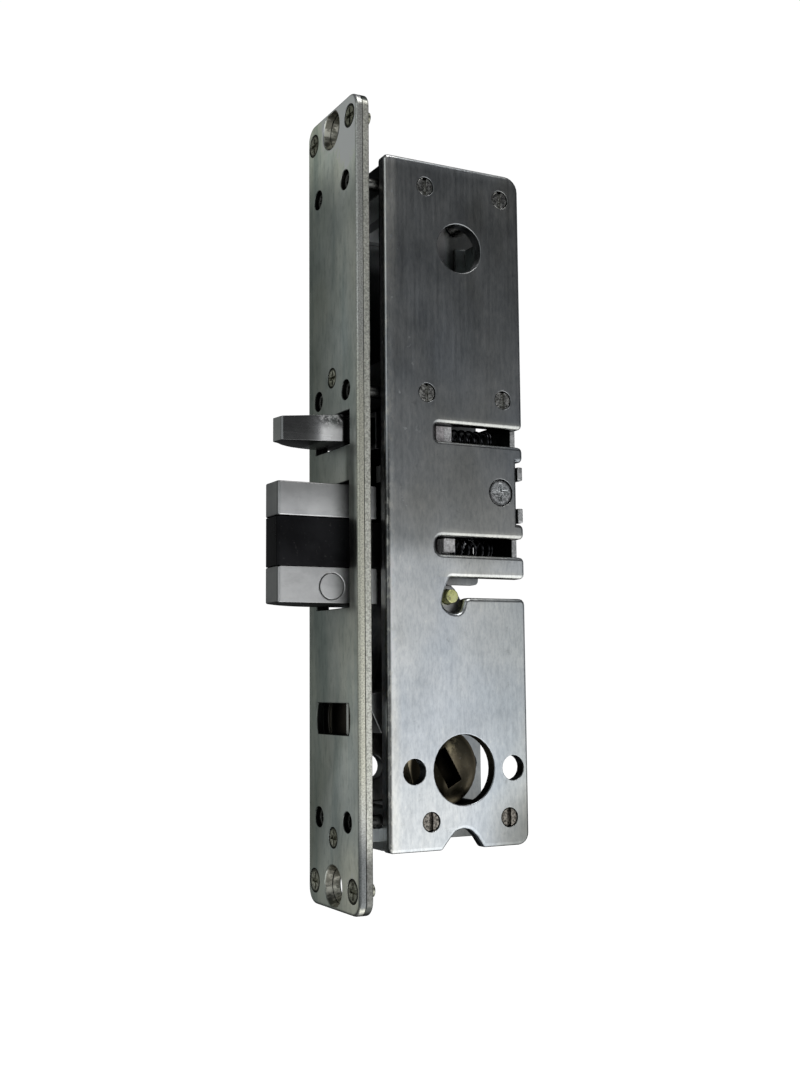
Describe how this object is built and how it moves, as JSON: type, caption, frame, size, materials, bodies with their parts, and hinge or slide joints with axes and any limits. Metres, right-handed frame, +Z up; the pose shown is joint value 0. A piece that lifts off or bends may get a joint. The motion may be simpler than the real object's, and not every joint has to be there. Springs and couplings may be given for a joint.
{
  "type": "mortise lock",
  "caption": "Narrow-stile mortise latch lock: faceplate, open steel case, sprung bolt and trigger bolt, retractor lever and slotted hub.",
  "frame": {"origin": "point on the outer face of the faceplate, centred across its width, at the height of the hub's axis", "axes": "+X from the faceplate into the door, +Z up along the faceplate, +Y towards the side of the bolt that curves away"},
  "size_m": [0.0574, 0.0254, 0.1746],
  "materials": {
    "faceplate_zinc": "satin zinc plate, grey-green",
    "case_zinc": "bright zinc plate, brushed lengthwise",
    "screw_zinc": "yellowish zinc",
    "post_nickel": "nickel",
    "bolt_steel": "satin ground steel",
    "insert_black": "blackened hardened steel",
    "trigger_steel": "polished stainless steel",
    "hub_bronze": "dark bronze",
    "lever_steel": "bright pressed steel",
    "brass": "turned brass",
    "spring_steel": "spring wire"
  },
  "bodies": {
    "case": {"faceplate": "faceplate_zinc", "mounting_plate": "faceplate_zinc", "faceplate_screw_1": "screw_zinc", "faceplate_screw_2": "screw_zinc", "faceplate_screw_3": "screw_zinc", "faceplate_screw_4": "screw_zinc", "adjusting_screw_1": "post_nickel", "adjusting_screw_2": "post_nickel", "adjusting_screw_3": "post_nickel", "adjusting_screw_4": "post_nickel", "adjusting_screw_5": "post_nickel", "adjusting_screw_6": "post_nickel", "bracket_screw_middle": "screw_zinc", "bracket_screw_lower": "screw_zinc", "bracket_upper": "lever_steel", "bracket_middle": "lever_steel", "bracket_lower": "lever_steel", "near_side_plate": "case_zinc", "far_side_plate": "case_zinc", "case_post_1": "post_nickel", "case_post_2": "post_nickel", "case_post_3": "post_nickel", "case_post_4": "post_nickel", "case_post_5": "post_nickel", "case_post_6": "post_nickel", "rear_retainer": "lever_steel", "retainer_screw": "screw_zinc", "lever_pivot_pin": "post_nickel", "dog_pivot_pin": "post_nickel", "hub_ring": "lever_steel", "bolt_guide_near": "lever_steel", "bolt_guide_far": "lever_steel", "trigger_guide_near": "lever_steel", "trigger_guide_far": "lever_steel", "window_cover": "lever_steel", "bolt_spring_cover": "lever_steel", "rear_strap": "lever_steel", "bolt_spring": "spring_steel", "trigger_spring": "spring_steel"},
    "bolt": {"bolt_upper_laminate": "bolt_steel", "bolt_insert": "insert_black", "bolt_lower_laminate": "bolt_steel", "bolt_cross_pin": "bolt_steel", "bolt_tail": "lever_steel"},
    "trigger": {"trigger_head": "trigger_steel", "trigger_tail": "lever_steel"},
    "retractor": {"retractor_lever": "lever_steel", "lever_link_pin": "brass"},
    "hub": {"hub": "hub_bronze"},
    "dog": {"deadlock_dog": "lever_steel"}
  },
  "joints": [
    {"name": "bolt_slide", "type": "slide", "parent": "case", "child": "bolt", "axis": [1, 0, 0], "range_m": [0, 0.0156], "stiffness_N_per_m": 350, "springref_m": -0.01, "deforming": ["bolt_spring"]},
    {"name": "trigger_slide", "type": "slide", "parent": "case", "child": "trigger", "axis": [1, 0, 0], "range_m": [0, 0.014], "stiffness_N_per_m": 200, "springref_m": -0.01, "deforming": ["trigger_spring"]},
    {"name": "lever_turn", "type": "hinge", "parent": "case", "child": "retractor", "pos_m": [0.03416, 0, 0.0154], "axis": [0, 1, 0], "range_deg": [0, 38.21]},
    {"name": "hub_turn", "type": "hinge", "parent": "case", "child": "hub", "pos_m": [0.02564, 0, 0], "axis": [0, 1, 0], "range_deg": [0, 42.01]},
    {"name": "dog_tip", "type": "hinge", "parent": "case", "child": "dog", "pos_m": [0.0295, 0, 0.0652], "axis": [0, 1, 0], "range_deg": [-5.01, 0]}
  ],
  "couplings": [
    {"joint": "lever_turn", "follows": "bolt_slide", "rad_per_m": 42.738},
    {"joint": "hub_turn", "follows": "bolt_slide", "rad_per_m": 46.99},
    {"joint": "dog_tip", "follows": "trigger_slide", "rad_per_m": -6.2333}
  ]
}
